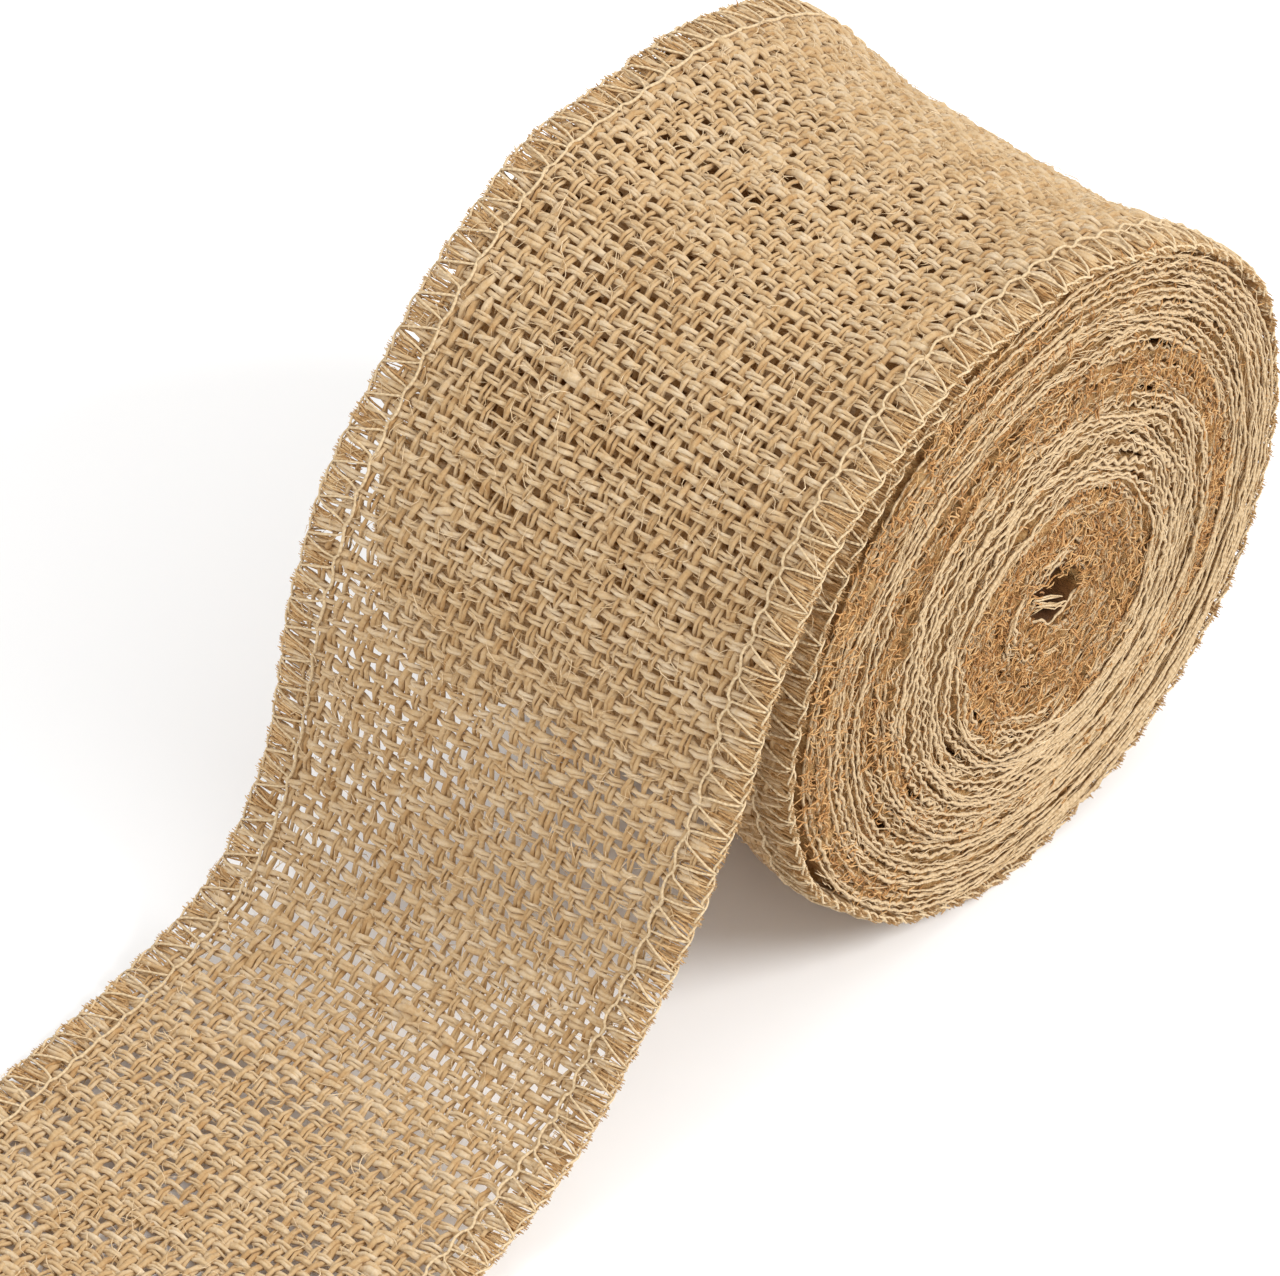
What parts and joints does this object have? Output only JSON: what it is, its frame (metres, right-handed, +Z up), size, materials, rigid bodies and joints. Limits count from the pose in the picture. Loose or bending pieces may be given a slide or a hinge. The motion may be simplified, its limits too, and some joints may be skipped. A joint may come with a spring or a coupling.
{
  "type": "burlap ribbon roll",
  "caption": "Coreless roll of stitched-edge burlap ribbon, the loose end hanging down in front of the roll and lying flat on the table.",
  "frame": {"origin": "middle of the part's overall box, at the level of the table", "axes": "+X along the roll's axis, across the ribbon; -Y the way the loose end runs; +Z up"},
  "size_m": [0.0762, 0.2694, 0.108],
  "materials": {
    "jute_cloth": "open plain weave of coarse natural jute yarn, matt and hairy",
    "needle_thread": "cream spun sewing thread, matt",
    "looper_thread": "cream spun sewing thread, matt"
  },
  "bodies": {
    "roll": {"wound_web": "jute_cloth", "wound_needle_left": "needle_thread", "wound_needle_right": "needle_thread", "wound_upper_looper_left": "looper_thread", "wound_upper_looper_right": "looper_thread", "wound_lower_looper_left": "looper_thread", "wound_lower_looper_right": "looper_thread"},
    "leader": {"outer_turn_web": "jute_cloth", "hanging_run_web": "jute_cloth", "outer_needle_left": "needle_thread", "outer_needle_right": "needle_thread", "outer_upper_looper_left": "looper_thread", "outer_upper_looper_right": "looper_thread", "outer_lower_looper_left": "looper_thread", "outer_lower_looper_right": "looper_thread", "run_needle_left": "needle_thread", "run_needle_right": "needle_thread", "run_upper_looper_left": "looper_thread", "run_upper_looper_right": "looper_thread", "run_lower_looper_left": "looper_thread", "run_lower_looper_right": "looper_thread"},
    "loose_end": {"tail_web": "jute_cloth", "tail_needle_left": "needle_thread", "tail_needle_right": "needle_thread", "tail_upper_looper_left": "looper_thread", "tail_upper_looper_right": "looper_thread", "tail_lower_looper_left": "looper_thread", "tail_lower_looper_right": "looper_thread"}
  },
  "joints": [
    {"name": "roll_turn", "type": "hinge", "parent": "leader", "child": "roll", "pos_m": [0, 0.08073, 0.054], "axis": [1, 0, 0], "continuous": true},
    {"name": "tail_lift", "type": "hinge", "parent": "leader", "child": "loose_end", "pos_m": [0, -0.07273, 0.0009], "axis": [-1, 0, 0], "range_deg": [0, 60]}
  ]
}
